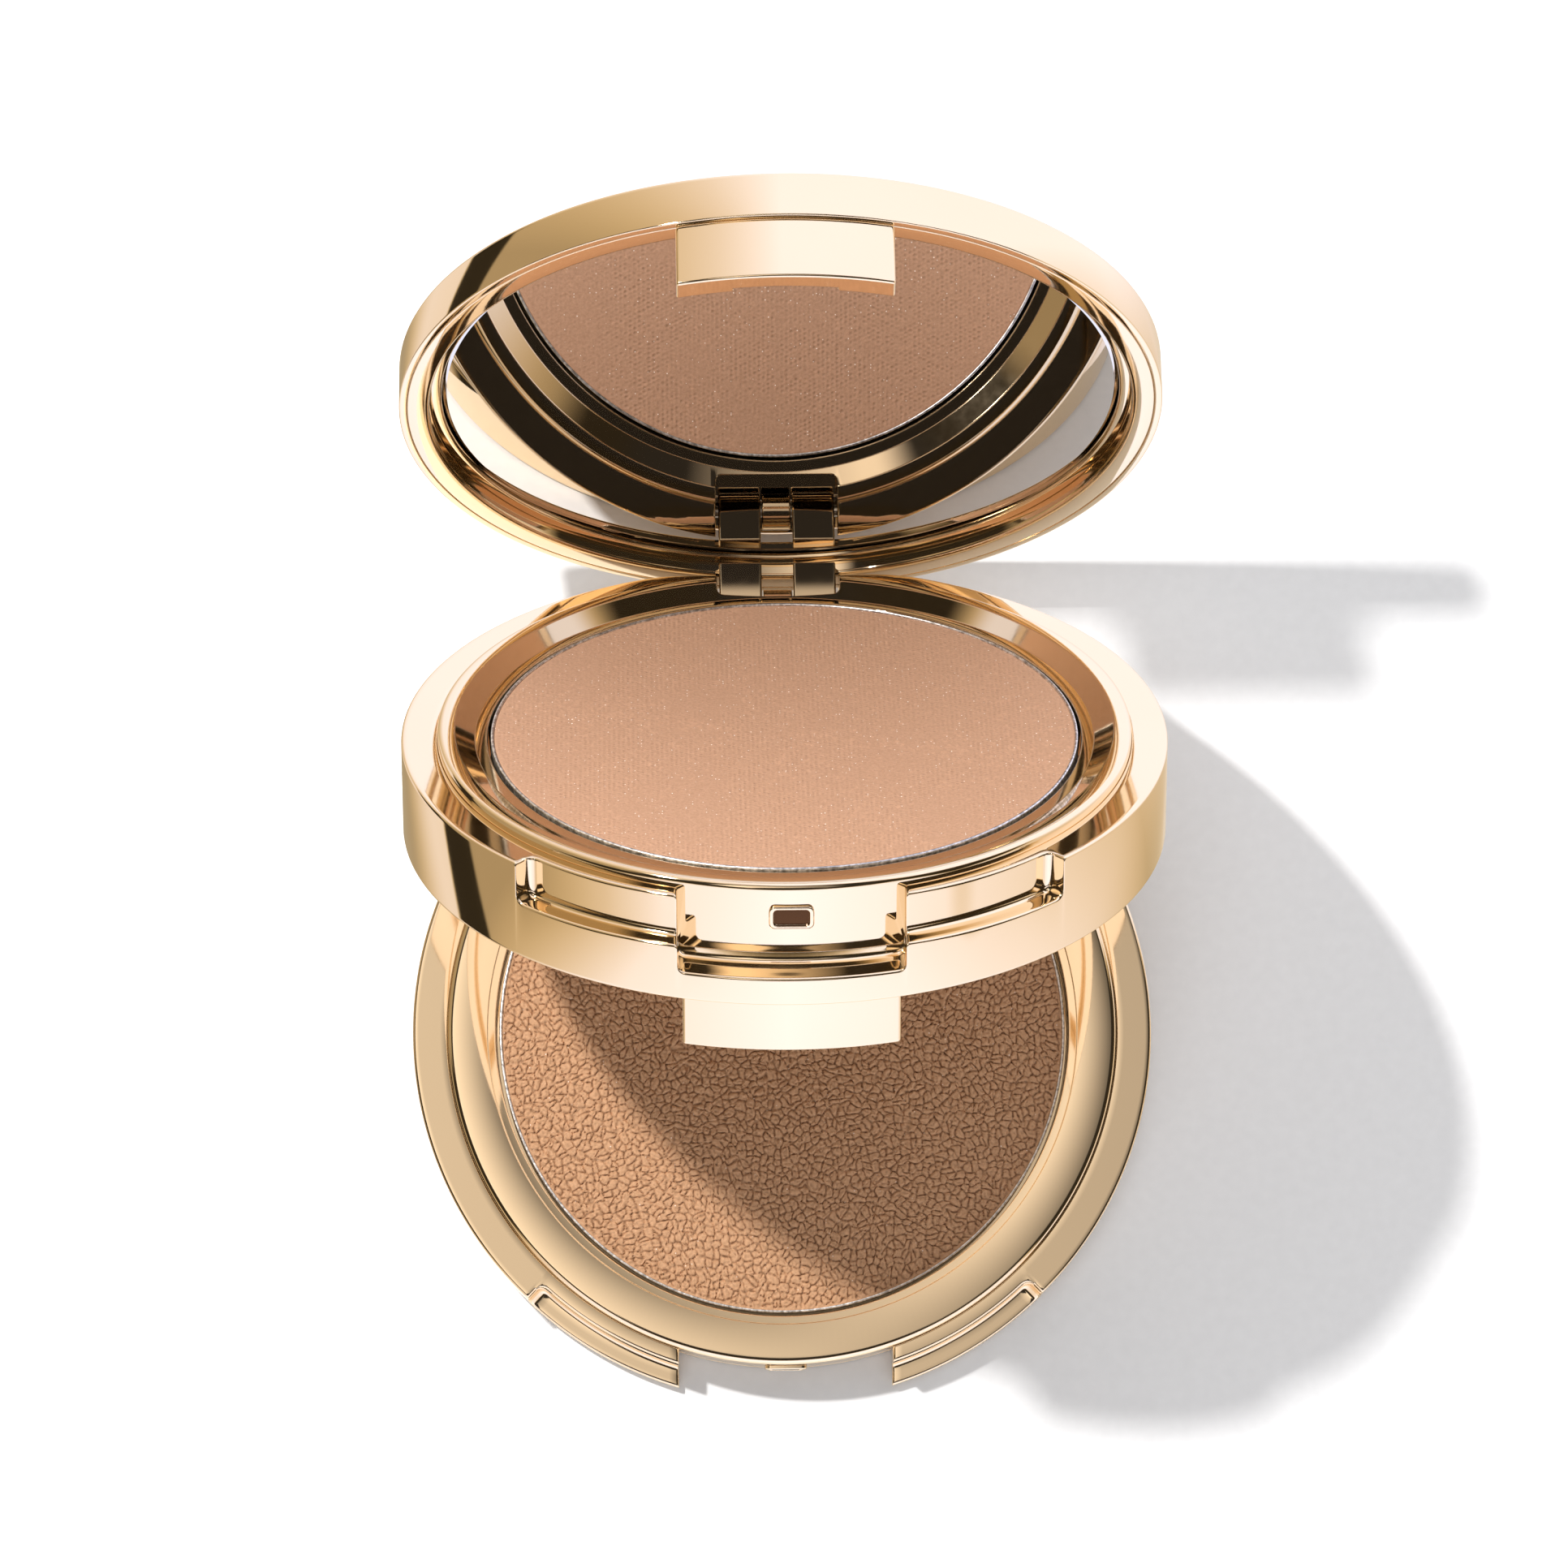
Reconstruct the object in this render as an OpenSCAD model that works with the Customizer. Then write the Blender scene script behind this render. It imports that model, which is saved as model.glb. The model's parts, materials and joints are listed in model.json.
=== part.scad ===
// Round two-tier powder compact: a base tray, a middle tray and a mirror lid,
// one above the other, each hinged at the back to the tray below it.
// Units are millimetres. The origin is the centre of the face it rests on,
// +Z is up and the fronts of the trays face -Y.

/* [Case] */
// Outside diameter of all three leaves
case_d = 77; // [74:0.5:82]
// Height of the base, from its foot to its rim
base_h = 5.5; // [5.4:0.1:6.5]
// Height of the middle tray, rim to rim
middle_h = 10.3; // [10.2:0.1:12]
// Height of the lid
lid_h = 4.9; // [4.8:0.1:6]
// Width of the flat ledge round each rim
ledge_w = 3.6; // [3.4:0.1:3.8]
// Radius of the soft outer edges
edge_r = 0.5; // [0.2:0.1:0.7]

/* [Pose] */
// Angle by which the middle tray stands open from the base
middle_open = 55; // [0:1:70]
// Angle by which the lid stands open from the middle tray
lid_open = 54; // [0:1:90]

/* [Collars] */
// Height of each collar above its rim
collar_rise = 1.1; // [0.8:0.1:1.2]
// Width of the flat top of the middle tray's collar
middle_collar_top = 1.7; // [1:0.1:2.2]
// Width of the flat top of the base's collar
base_collar_top = 4.2; // [3:0.1:4.3]
// Width of the flat lip round the middle tray's pan
middle_lip_w = 1.2; // [0.9:0.1:1.4]
// Depth of that lip below the rim
middle_lip_drop = 0.1; // [0:0.1:0.5]
// Width of the flat lip round the base's pan
base_lip_w = 0.9; // [0.5:0.1:1]
// Height of that lip above the rim
base_lip_rise = 0.9; // [0.7:0.1:1]
// Depth of each pan well below the rim
well_depth = 4.4; // [4.2:0.1:4.4]

/* [Pans] */
// Outside diameter of the metal pans
pan_d = 59; // [57:0.5:59]
// Thickness of a pan's metal
pan_t = 0.3; // [0.2:0.05:0.4]
// Gap between a pan and its well
pan_gap = 0.35; // [0.2:0.05:0.4]

/* [Latches] */
// Width of the tongue under each leaf
tongue_w = 21.2; // [18:0.1:21.6]
// Length of the lid's tongue
lid_tongue_l = 6.5; // [6:0.1:6.6]
// Length of the middle tray's tongue
middle_tongue_l = 5.2; // [4.8:0.1:5.3]
// Thickness of each tongue
tongue_t = 2.65; // [2.4:0.05:2.7]
// Width of the slot that a tongue drops into
latch_slot_w = 22.2; // [22:0.1:24]
// Depth of the middle tray's slot below its rim
latch_slot_depth = 7.2; // [7:0.1:7.4]
// Width of the catch on a slot's back wall
catch_w = 4.4; // [3.6:0.1:5]
// Height of that catch
catch_h = 2.4; // [1.8:0.1:2.6]
// How far each catch stands out of its wall
catch_proud = 0.4; // [0.3:0.05:0.4]

/* [Finger notches] */
// Angle from the front to the far end of each notch
notch_end = 44; // [36:1:50]
// Width of ledge that a notch leaves
notch_ledge = 1.5; // [1.2:0.1:2]
// Depth of the notches below the rim
notch_depth = 4.3; // [3.5:0.1:4.5]

/* [Hinges] */
// Diameter of the hinge pins
pin_d = 1.2; // [1:0.1:1.2]
// Length of the hinge pins
pin_l = 20; // [18:0.5:22]
// Distance from the back of the case in to the pins
pin_inset = 2.8; // [2.7:0.1:3]
// Distance from a rim down to the pin below it
pin_drop = 3.6; // [3.5:0.1:3.7]
// Width over both lugs of a hinge
hinge_w = 12.2; // [11:0.1:13]
// Width of the knuckle between the lugs
knuckle_w = 3; // [2.6:0.1:3.4]

/* [Mirror] */
// Diameter of the mirror glass
mirror_d = 70; // [69:0.1:70.2]
// Thickness of the mirror glass
mirror_t = 1.2; // [1:0.1:1.3]
// Depth of the mirror's face behind the lid's rim
mirror_depth = 2.2; // [2:0.1:2.3]

/* [Hidden] */
$fn = 96;

case_r = case_d / 2;
collar_r = case_r - ledge_w;
base_rim = base_h;
middle_rim = base_h + middle_h;
lid_top = middle_rim + lid_h;

// Clearances: pieces that are joined, pieces that nest when shut, a pin in a lug
join_gap = 0.03;
nest_gap = 0.4;
lug_clear = 0.05;
press_clear = 0.01;
over = 1;                     // how far a cutter runs past what it cuts

floor_t = 0.9;                // the base's floor
tray_floor_t = 0.4;
adhesive_t = 0.2;
powder_r = pan_d / 2 - pan_t;
pan_rim_rise = 0.1;           // a pan's rim above the case's rim

nest_r = collar_r + nest_gap; // the recess that takes the collar below
recess_depth = collar_rise + 0.3;
underplate_t = 1;
underplate_z = base_rim + recess_depth;
band_step_z = underplate_z + underplate_t + 0.05;

pin_r = pin_d / 2;
pin_y = case_r - pin_inset;
base_pin_z = base_rim - pin_drop;
lid_pin_z = middle_rim - pin_drop;
hinge_slot_w = hinge_w + 0.6;
lug_swing = 4.4;              // room in front of a pin for the lugs to swing
hinge_slot_y = pin_y - lug_swing;
knuckle_gap = 0.15;
base_knuckle_r = 1.6;
lid_knuckle_r = 2;
lug_floor_gap = 0.4;
lid_slot_floor = lid_pin_z - lid_knuckle_r - lug_floor_gap;
roll_gap = 0.08;
shoulder_r = pin_drop - roll_gap; // the round back of a rim that the next leaf rolls on
lug_w = (hinge_w - knuckle_w) / 2 - knuckle_gap;

cover_t = 0.8;
frame_r = case_r - cover_t - join_gap;
frame_floor_t = 0.45;
mirror_gap = 0.4;             // between the glass and the frame's wall
bezel_r = mirror_d / 2 + mirror_gap - join_gap;
bezel_t = 0.6;
bezel_w = 1.15;
mirror_z = middle_rim + mirror_depth;
frame_top = lid_top - cover_t - join_gap;
tongue_r = collar_r + 0.35;   // inner face of a tongue
catch_drop = 2.3;             // from a rim down to the middle of its catch
catch_t = 1.2;
catch_round = 0.6;
stem_size = [2.4, 1.2];
stem_l = 1;
label_r = 25;
label_t = 0.2;

gold = "#e3c79a";
silver = "#c9cbcc";

// ---- Shapes that several pieces share ----

// Turned ring between two radii and two heights
module ring(r_in, r_out, z0, z1) {
    rotate_extrude($fn = 180)
        translate([r_in, z0]) square([r_out - r_in, z1 - z0]);
}

// Outline of a turned wall whose chosen outer corners are rounded
module wall_outline(r_in, z0, z1, round_low, round_high) {
    difference() {
        translate([r_in, z0]) square([case_r - r_in, z1 - z0]);
        if (round_low) translate([case_r - edge_r, z0 + edge_r]) corner_waste(-1);
        if (round_high) translate([case_r - edge_r, z1 - edge_r]) corner_waste(1);
    }
}

// What a rounded corner takes off; side is 1 for a top corner and -1 for a bottom one
module corner_waste(side) {
    difference() {
        translate([0, side > 0 ? 0 : -edge_r - over]) square(edge_r + over);
        circle(r = edge_r, $fn = 48);
    }
}

// Slot through the front of a rim, outside the collar, from height z0 up
module latch_slot(z0) {
    difference() {
        translate([-latch_slot_w / 2, -case_r - over, z0])
            cube([latch_slot_w, case_r, lid_top]);
        cylinder(r = collar_r, h = 2 * lid_top, $fn = 180);
    }
}

// Both finger notches of a rim, each from the latch slot round to notch_end
module finger_notches(rim_z) {
    notch_r = collar_r + notch_ledge;
    reach = case_r + 6;
    for (side = [-1, 1])
        difference() {
            translate([0, 0, rim_z - notch_depth])
                linear_extrude(notch_depth + over)
                    polygon([
                        [0, 0], [0, -reach],
                        [side * reach * sin(notch_end / 2), -reach],
                        [side * reach * sin(notch_end), -reach * cos(notch_end)]
                    ]);
            cylinder(r = notch_r, h = lid_top, $fn = 180);
        }
}

// Slot for a hinge's lugs, from height z0 up
module hinge_slot(z0) {
    translate([-hinge_slot_w / 2, hinge_slot_y, z0]) cube([hinge_slot_w, case_r, lid_top]);
}

// Round bar along X through a pin's centre
module bar(r, length, pin_z) {
    translate([-length / 2, pin_y, pin_z]) rotate([0, 90, 0]) cylinder(r = r, h = length);
}

// The pin's hole, driven in from the right and blind on the left
module pin_hole(pin_z) {
    r = pin_r + press_clear;
    translate([-pin_l / 2 - 0.1, pin_y, pin_z])
        rotate([0, 90, 0]) cylinder(r = r, h = pin_l / 2 + case_r);
}

// What is cut from the back of a rim so that the next leaf can roll over it
module rim_shoulder(pin_z) {
    difference() {
        translate([-case_r / 2, pin_y, pin_z]) cube([case_r, 2 * pin_inset, 2 * pin_drop]);
        bar(shoulder_r, case_d, pin_z);
    }
}

// Two hinge lugs that hang from height top_z down round the pin
module lugs(r, pin_z, top_z) {
    for (x = [-hinge_w / 2, hinge_w / 2 - lug_w])
        difference() {
            union() {
                translate([x, pin_y, pin_z]) rotate([0, 90, 0]) cylinder(r = r, h = lug_w);
                translate([x, pin_y - r, pin_z]) cube([lug_w, 2 * r, top_z - pin_z]);
            }
            bar(pin_r + lug_clear, case_d, pin_z);
        }
}

// Tongue that hangs from height top_z, with a relief that passes the catch
module tongue(length, top_z, root_z) {
    relief_w = 10;
    relief_t = catch_proud + 0.15;
    difference() {
        intersection() {
            ring(tongue_r, tongue_r + tongue_t, root_z - length, top_z);
            translate([-tongue_w / 2, -case_r - over, 0]) cube([tongue_w, case_r, lid_top]);
        }
        translate([-relief_w / 2, -case_r, root_z - length - over])
            intersection() {
                cube([relief_w, case_r, length]);
                translate([relief_w / 2, case_r, 0])
                    cylinder(r = tongue_r + relief_t, h = length, $fn = 180);
            }
    }
}

// Tray insert: a cup for the pan with a raised collar, turned from one outline
module tray_insert(rim_z, bottom_z, collar_top, lip_w, lip_z) {
    well_r = pan_d / 2 + pan_gap;
    lip_r = well_r + lip_w;
    top_z = rim_z + collar_rise;
    outer_r = collar_r - join_gap;
    soft = 0.3;
    rotate_extrude($fn = 180)
        polygon(concat(
            [[0, bottom_z], [outer_r, bottom_z], [outer_r, top_z - soft]],
            [for (a = [15:15:75])
                [outer_r - soft + soft * cos(a), top_z - soft + soft * sin(a)]],
            [[outer_r - soft, top_z], [outer_r - collar_top, top_z],
             [lip_r, lip_z], [well_r, lip_z],
             [well_r, rim_z - well_depth], [0, rim_z - well_depth]]
        ));
}

// Catch: a small plate on the collar's wall with a stem through it
module catch_piece(rim_z) {
    difference() {
        translate([0, -collar_r - catch_proud, rim_z - catch_drop])
            rotate([-90, 0, 0]) linear_extrude(catch_t) rounded_rect([catch_w, catch_h], catch_round);
        cylinder(r = collar_r, h = lid_top, $fn = 180);
    }
    translate([-stem_size[0] / 2, -collar_r - 0.2, rim_z - catch_drop - stem_size[1] / 2])
        cube([stem_size[0], stem_l + 0.2, stem_size[1]]);
}

module rounded_rect(size, r) {
    square([size[0] - 2 * r, size[1]], center = true);
    square([size[0], size[1] - 2 * r], center = true);
    for (x = [-1, 1], y = [-1, 1])
        translate([x * (size[0] / 2 - r), y * (size[1] / 2 - r)]) circle(r = r, $fn = 24);
}

// Hole in the collar's wall for the catch's stem
module catch_hole(rim_z) {
    hole = [stem_size[0] + 2 * join_gap, 2 * (stem_l + join_gap), stem_size[1] + 2 * join_gap];
    translate([0, -collar_r, rim_z - catch_drop]) cube(hole, center = true);
}

// Pan and its filling, seated on a disc of adhesive
module pan_adhesive(rim_z) {
    translate([0, 0, rim_z - well_depth]) cylinder(r = pan_d / 2 - 2, h = adhesive_t);
}

module pan(rim_z) {
    pan_z = rim_z - well_depth + adhesive_t;
    difference() {
        translate([0, 0, pan_z])
            cylinder(d = pan_d, h = well_depth - adhesive_t + pan_rim_rise, $fn = 180);
        translate([0, 0, pan_z + pan_t]) cylinder(r = powder_r, h = well_depth, $fn = 180);
    }
}

module powder(rim_z) {
    fill_z = rim_z - well_depth + adhesive_t + pan_t;
    translate([0, 0, fill_z]) cylinder(r = powder_r, h = rim_z - fill_z, $fn = 180);
}

// ---- Poses: each leaf turns about the pin below it ----

module turned_about(pin_z, angle) {
    translate([0, pin_y, pin_z]) rotate([-angle, 0, 0])
        translate([0, -pin_y, -pin_z]) children();
}

module on_middle() {
    turned_about(base_pin_z, middle_open) children();
}

module on_lid() {
    on_middle() turned_about(lid_pin_z, lid_open) children();
}

// ---- Base ----

module base_shell() color(gold) {
    difference() {
        union() {
            rotate_extrude($fn = 180) wall_outline(collar_r, 0, base_rim, true, false);
            cylinder(r = collar_r, h = floor_t, $fn = 180);
        }
        translate([0, 0, -over]) cylinder(r = label_r + join_gap, h = over + label_t);
        latch_slot(-over);
        finger_notches(base_rim);
        hinge_slot(-over);
        rim_shoulder(base_pin_z);
        pin_hole(base_pin_z);
    }
    difference() {
        union() {
            bar(base_knuckle_r, knuckle_w, base_pin_z);
            translate([-knuckle_w / 2, hinge_slot_y - 0.2, base_pin_z - base_knuckle_r])
                cube([knuckle_w, pin_y - hinge_slot_y + 0.2, floor_t - base_pin_z + base_knuckle_r]);
        }
        pin_hole(base_pin_z);
    }
}

module base_tray() color(gold) {
    difference() {
        tray_insert(base_rim, floor_t, base_collar_top, base_lip_w, base_rim + base_lip_rise);
        hinge_slot(floor_t - over);
        catch_hole(base_rim);
    }
}

module base_catch() color(gold) catch_piece(base_rim);

module base_pan_adhesive() color("#e9e6dc") pan_adhesive(base_rim);

module base_pan() color(silver) pan(base_rim);

module base_powder() color("#9c765f") powder(base_rim);

module base_label() color("#e8ddc8") cylinder(r = label_r, h = label_t);

module base_hinge_pin() color(silver) bar(pin_r, pin_l, base_pin_z);

// ---- Middle tray ----

module middle_band() color(gold) on_middle() {
    difference() {
        union() {
            rotate_extrude($fn = 180) wall_outline(collar_r, base_rim, middle_rim, true, false);
            lugs(base_knuckle_r, base_pin_z, underplate_z);
            tongue(middle_tongue_l, base_rim + nest_gap, base_rim);
        }
        nest_recess();
        latch_slot(middle_rim - latch_slot_depth);
        finger_notches(middle_rim);
        hinge_slot(lid_slot_floor);
        rim_shoulder(lid_pin_z);
        pin_hole(lid_pin_z);
    }
    difference() {
        union() {
            bar(lid_knuckle_r, knuckle_w, lid_pin_z);
            translate([-knuckle_w / 2, collar_r + 0.05, lid_slot_floor - 0.2])
                cube([knuckle_w, pin_y + lid_knuckle_r - collar_r - 0.05,
                      lid_pin_z - lid_slot_floor + 0.2]);
        }
        pin_hole(lid_pin_z);
    }
}

// Recess under the band for the base's collar; it leaves the lugs standing
module nest_recess() {
    difference() {
        translate([0, 0, base_rim - over])
            cylinder(r = nest_r, h = over + band_step_z - base_rim, $fn = 180);
        translate([-hinge_w / 2, pin_y - base_knuckle_r, 0])
            cube([hinge_w, 2 * base_knuckle_r, underplate_z]);
        translate([0, 0, base_rim - over - middle_tongue_l])
            ring(tongue_r, nest_r + over, 0, over + middle_tongue_l);
    }
}

module middle_tray() color(gold) on_middle() {
    wall_t = 2.5;
    cavity_h = 1.2;
    difference() {
        tray_insert(middle_rim, band_step_z, middle_collar_top, middle_lip_w,
                    middle_rim - middle_lip_drop);
        translate([0, 0, band_step_z - over])
            cylinder(r = collar_r - wall_t, h = over + cavity_h, $fn = 180);
        hinge_slot(lid_slot_floor);
        catch_hole(middle_rim);
        bar(lid_knuckle_r + 0.1, knuckle_w + 0.2, lid_pin_z);
    }
}

module middle_catch() color(gold) on_middle() catch_piece(middle_rim);

module middle_underplate() color(gold) on_middle()
    translate([0, 0, underplate_z])
        difference() {
            cylinder(r = nest_r - join_gap, h = underplate_t, $fn = 180);
            translate([0, 0, -over]) cylinder(r = label_r, h = over + label_t);
        }

module middle_pan_adhesive() color("#e9e6dc") on_middle() pan_adhesive(middle_rim);

module middle_pan() color(silver) on_middle() pan(middle_rim);

module middle_powder() color("#c99a7d") on_middle() powder(middle_rim);

module lid_hinge_pin() color(silver) on_middle() bar(pin_r, pin_l, lid_pin_z);

// ---- Lid ----

module lid_cover() color(gold) on_lid()
    difference() {
        rotate_extrude($fn = 180) wall_outline(0, middle_rim, lid_top, false, true);
        translate([0, 0, middle_rim - over])
            cylinder(r = case_r - cover_t, h = over + lid_h - cover_t, $fn = 180);
    }

module lid_frame() color(gold) on_lid() {
    wall_r = mirror_d / 2 + mirror_gap;
    ring(wall_r, frame_r, middle_rim, frame_top);
    translate([0, 0, frame_top - frame_floor_t])
        cylinder(r = frame_r, h = frame_floor_t, $fn = 180);
    tongue(lid_tongue_l, middle_rim, middle_rim);
    lugs(lid_knuckle_r, lid_pin_z, middle_rim);
    lug_roots(wall_r);
}

// The lugs' roots behind the frame's wall
module lug_roots(wall_r) {
    root_t = 0.9;
    intersection() {
        for (x = [-hinge_w / 2, hinge_w / 2 - lug_w])
            translate([x, pin_y - lid_knuckle_r, middle_rim - 0.2])
                cube([lug_w, 2 * lid_knuckle_r, root_t + 0.2]);
        cylinder(r = frame_r, h = lid_top, $fn = 180);
    }
}

module mirror_bezel() color(gold) on_lid()
    ring(bezel_r - bezel_w, bezel_r, mirror_z - bezel_t, mirror_z);

module mirror_glass() color("#dfe6ea") on_lid()
    translate([0, 0, mirror_z]) cylinder(d = mirror_d, h = mirror_t, $fn = 180);

module mirror_adhesive() color("#f2f0ea") on_lid()
    translate([0, 0, mirror_z + mirror_t])
        cylinder(d = mirror_d - 4, h = frame_top - frame_floor_t - mirror_z - mirror_t);

base_shell();
base_tray();
base_catch();
base_pan_adhesive();
base_pan();
base_powder();
base_label();
base_hinge_pin();
middle_band();
middle_tray();
middle_catch();
middle_underplate();
middle_pan_adhesive();
middle_pan();
middle_powder();
lid_hinge_pin();
lid_cover();
lid_frame();
mirror_bezel();
mirror_glass();
mirror_adhesive();
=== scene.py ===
# Looks of the two-tier powder compact: polished gold case, pressed powders and a bevelled mirror,
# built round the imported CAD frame. Shapes are drawn shut, in millimetres, and then opened by the
# same hinges as the CAD model.
import json
import math

import bpy
import bmesh
import numpy as np
from mathutils import Matrix, Vector


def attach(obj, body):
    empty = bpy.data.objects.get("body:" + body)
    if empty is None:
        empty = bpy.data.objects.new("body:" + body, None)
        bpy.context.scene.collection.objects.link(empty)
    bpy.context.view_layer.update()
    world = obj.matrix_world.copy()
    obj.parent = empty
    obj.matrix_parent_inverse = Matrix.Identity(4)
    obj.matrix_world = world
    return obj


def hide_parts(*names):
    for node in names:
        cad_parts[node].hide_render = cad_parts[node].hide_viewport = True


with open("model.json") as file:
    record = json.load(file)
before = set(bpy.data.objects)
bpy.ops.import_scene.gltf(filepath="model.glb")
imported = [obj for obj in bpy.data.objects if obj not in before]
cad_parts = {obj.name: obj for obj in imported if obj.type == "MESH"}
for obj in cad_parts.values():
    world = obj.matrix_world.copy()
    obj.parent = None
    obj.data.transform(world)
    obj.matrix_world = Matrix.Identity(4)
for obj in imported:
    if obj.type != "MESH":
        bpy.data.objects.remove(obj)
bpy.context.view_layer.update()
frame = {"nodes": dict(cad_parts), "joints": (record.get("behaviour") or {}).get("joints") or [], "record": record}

MM = 0.001

# ---- Driving dimensions, in millimetres ----
CASE_R = 38.5        # outside of all three leaves
BASE_RIM = 5.5       # heights of the rims and of the lid's top, when shut
MIDDLE_RIM = 15.8
LID_TOP = 20.7
COLLAR_R = 34.9      # outside of the collars, inside of the rim bands
COLLAR_RISE = 1.1    # collars above their rims
WELL_R = 29.85       # wells for the pans
WELL_DEPTH = 4.4
PAN_R = 29.5
POWDER_R = 29.2
EDGE_R = 0.5         # soft outer edges
TONGUE_HALF = 10.6   # half the width of a latch tongue, and its two faces
TONGUE_IN = 35.25
TONGUE_OUT = 37.9
SLOT_HALF = 11.1     # half the width of a latch slot
SLOT_DEPTH = 7.2     # the middle tray's latch slot below its rim
HINGE_HALF = 6.4     # half the width of a hinge slot, and its front face
HINGE_Y = 31.3
PIN_Y = 35.7         # hinge pins: behind the axis and below the rims
PIN_DROP = 3.6
LUG_W = 4.45         # hinge lugs: width, and outer face from the middle
LUG_OUT = 6.1
KNUCKLE_HALF = 1.5
CATCH_DROP = 2.3     # from a rim down to the middle of its catch

# Clearances
SHUT_GAP = 0.03      # hairline between two rims when shut
JOIN_GAP = 0.03      # between pieces that are joined
NEST_GAP = 0.4       # round a collar, in the leaf above it
ROLL_GAP = 0.08      # between a leaf and the shoulder that it rolls on

# Lid, from the inside out
MIRROR_Z = 18.0
FRAME_IN = 35.4
FRAME_FLOOR = 19.42
FRAME_TOP = 19.87
FRAME_OUT = 37.67
COVER_T = 0.8

LID_PIN_Z = MIDDLE_RIM - PIN_DROP
BASE_PIN_Z = BASE_RIM - PIN_DROP

# ---- Opening the leaves: closed frame to rest pose, from the CAD joints ----
joints = {j["name"]: j for j in frame["joints"]}


def hinge_turn(point_m, degrees):
    """Turn about the -X axis through a point, in metres."""
    there = Matrix.Translation(point_m)
    return there @ Matrix.Rotation(math.radians(-degrees), 4, "X") @ there.inverted()


middle_angle = -joints["middle_hinge"]["range_deg"][0]
lid_angle = -joints["lid_hinge"]["range_deg"][0]
base_pin = Vector(joints["middle_hinge"]["pos_m"])
lid_pin_shut = Vector((0, PIN_Y * MM, LID_PIN_Z * MM))
TO_REST = {"base": Matrix.Identity(4), "middle": hinge_turn(base_pin, middle_angle)}
TO_REST["lid"] = TO_REST["middle"] @ hinge_turn(lid_pin_shut, lid_angle)


# ---- Mesh helpers ----
def fillet(corners, steps=5):
    """Round a closed outline of (r, z, radius) corners; each corner gives steps + 1 points."""
    out = []
    n = len(corners)
    for i, (r, z, radius) in enumerate(corners):
        here = np.array([r, z], float)
        back = np.array(corners[i - 1][:2], float) - here
        on = np.array(corners[(i + 1) % n][:2], float) - here
        lb, lo = np.linalg.norm(back), np.linalg.norm(on)
        if radius <= 0 or lb < 1e-6 or lo < 1e-6:
            out += [tuple(here)] * (1 if radius == 0 else steps + 1)
            continue
        back, on = back / lb, on / lo
        half = math.acos(max(-1, min(1, float(back @ on)))) / 2
        if half > math.radians(88):
            out += [tuple(here)] * (steps + 1)
            continue
        reach = min(radius / math.tan(half), 0.48 * lb, 0.48 * lo)
        rad = reach * math.tan(half)
        mid = (back + on) / np.linalg.norm(back + on)
        centre = here + mid * rad / math.sin(half)
        a = here + back * reach - centre
        b = here + on * reach - centre
        total = math.pi - 2 * half
        for k in range(steps + 1):
            t = k / steps
            p = (math.sin((1 - t) * total) * a + math.sin(t * total) * b) / math.sin(total)
            out.append(tuple(centre + p))
    return out


def make_piece(name, verts, faces, body, material, slot, sharp=35):
    """A mesh drawn shut in millimetres, opened with its body and made to ride on it."""
    mesh = bpy.data.meshes.new(name)
    mesh.from_pydata([tuple(v) for v in verts], [], faces)
    bm = bmesh.new()
    bm.from_mesh(mesh)
    bmesh.ops.remove_doubles(bm, verts=bm.verts, dist=0.002)
    bmesh.ops.dissolve_degenerate(bm, edges=bm.edges, dist=0.001)
    loose = [e for e in bm.edges if not e.link_faces]
    bmesh.ops.delete(bm, geom=loose, context="EDGES")
    bmesh.ops.recalc_face_normals(bm, faces=bm.faces)
    bm.to_mesh(mesh)
    bm.free()
    mesh.transform(TO_REST[body] @ Matrix.Scale(MM, 4))
    for p in mesh.polygons:
        p.use_smooth = True
    mesh.set_sharp_from_angle(angle=math.radians(sharp))
    obj = bpy.data.objects.new(name, mesh)
    bpy.context.scene.collection.objects.link(obj)
    mesh.materials.append(material)
    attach(obj, body)
    return obj


def loft(sections, closed=False):
    """Quads between sections, each a closed loop of 3-D points of the same length."""
    n = len(sections[0])
    verts = [p for s in sections for p in s]
    faces = []
    rounds = len(sections) if closed else len(sections) - 1
    for i in range(rounds):
        a, b = i * n, ((i + 1) % len(sections)) * n
        for k in range(n):
            m = (k + 1) % n
            faces.append((a + k, b + k, b + m, a + m))
    if not closed:
        faces.append(tuple(range(n)))
        faces.append(tuple(reversed(range((len(sections) - 1) * n, len(sections) * n))))
    return verts, faces


def lathe(corners, segments=240, steps=5):
    """A full turn of a closed outline of (r, z, radius) corners."""
    loop = fillet(corners, steps)
    sections = []
    for i in range(segments):
        a = 2 * math.pi * i / segments
        sections.append([(r * math.sin(a), -r * math.cos(a), z) for r, z in loop])
    return loft(sections, closed=True)


def disc_lathe(corners, segments=240, steps=5):
    """A full turn of an outline whose first and last corners lie on the axis."""
    ring = fillet(corners, steps)[1:-1]
    n = len(ring)
    verts = []
    for i in range(segments):
        a = 2 * math.pi * i / segments
        verts += [(r * math.sin(a), -r * math.cos(a), z) for r, z in ring]
    faces = [tuple(i * n for i in range(segments)),
             tuple(i * n + n - 1 for i in reversed(range(segments)))]
    for i in range(segments):
        a, b = i * n, ((i + 1) % segments) * n
        faces += [(a + k, b + k, b + k + 1, a + k + 1) for k in range(n - 1)]
    return verts, faces


def arc_steps(radius, steps=5):
    """(distance left to the wall, rise) pairs up a concave fillet against a wall."""
    out = []
    for k in range(steps + 1):
        phi = math.radians(90 * k / steps)
        out.append((radius * (1 - math.sin(phi)), radius * (1 - math.cos(phi))))
    return out


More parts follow.
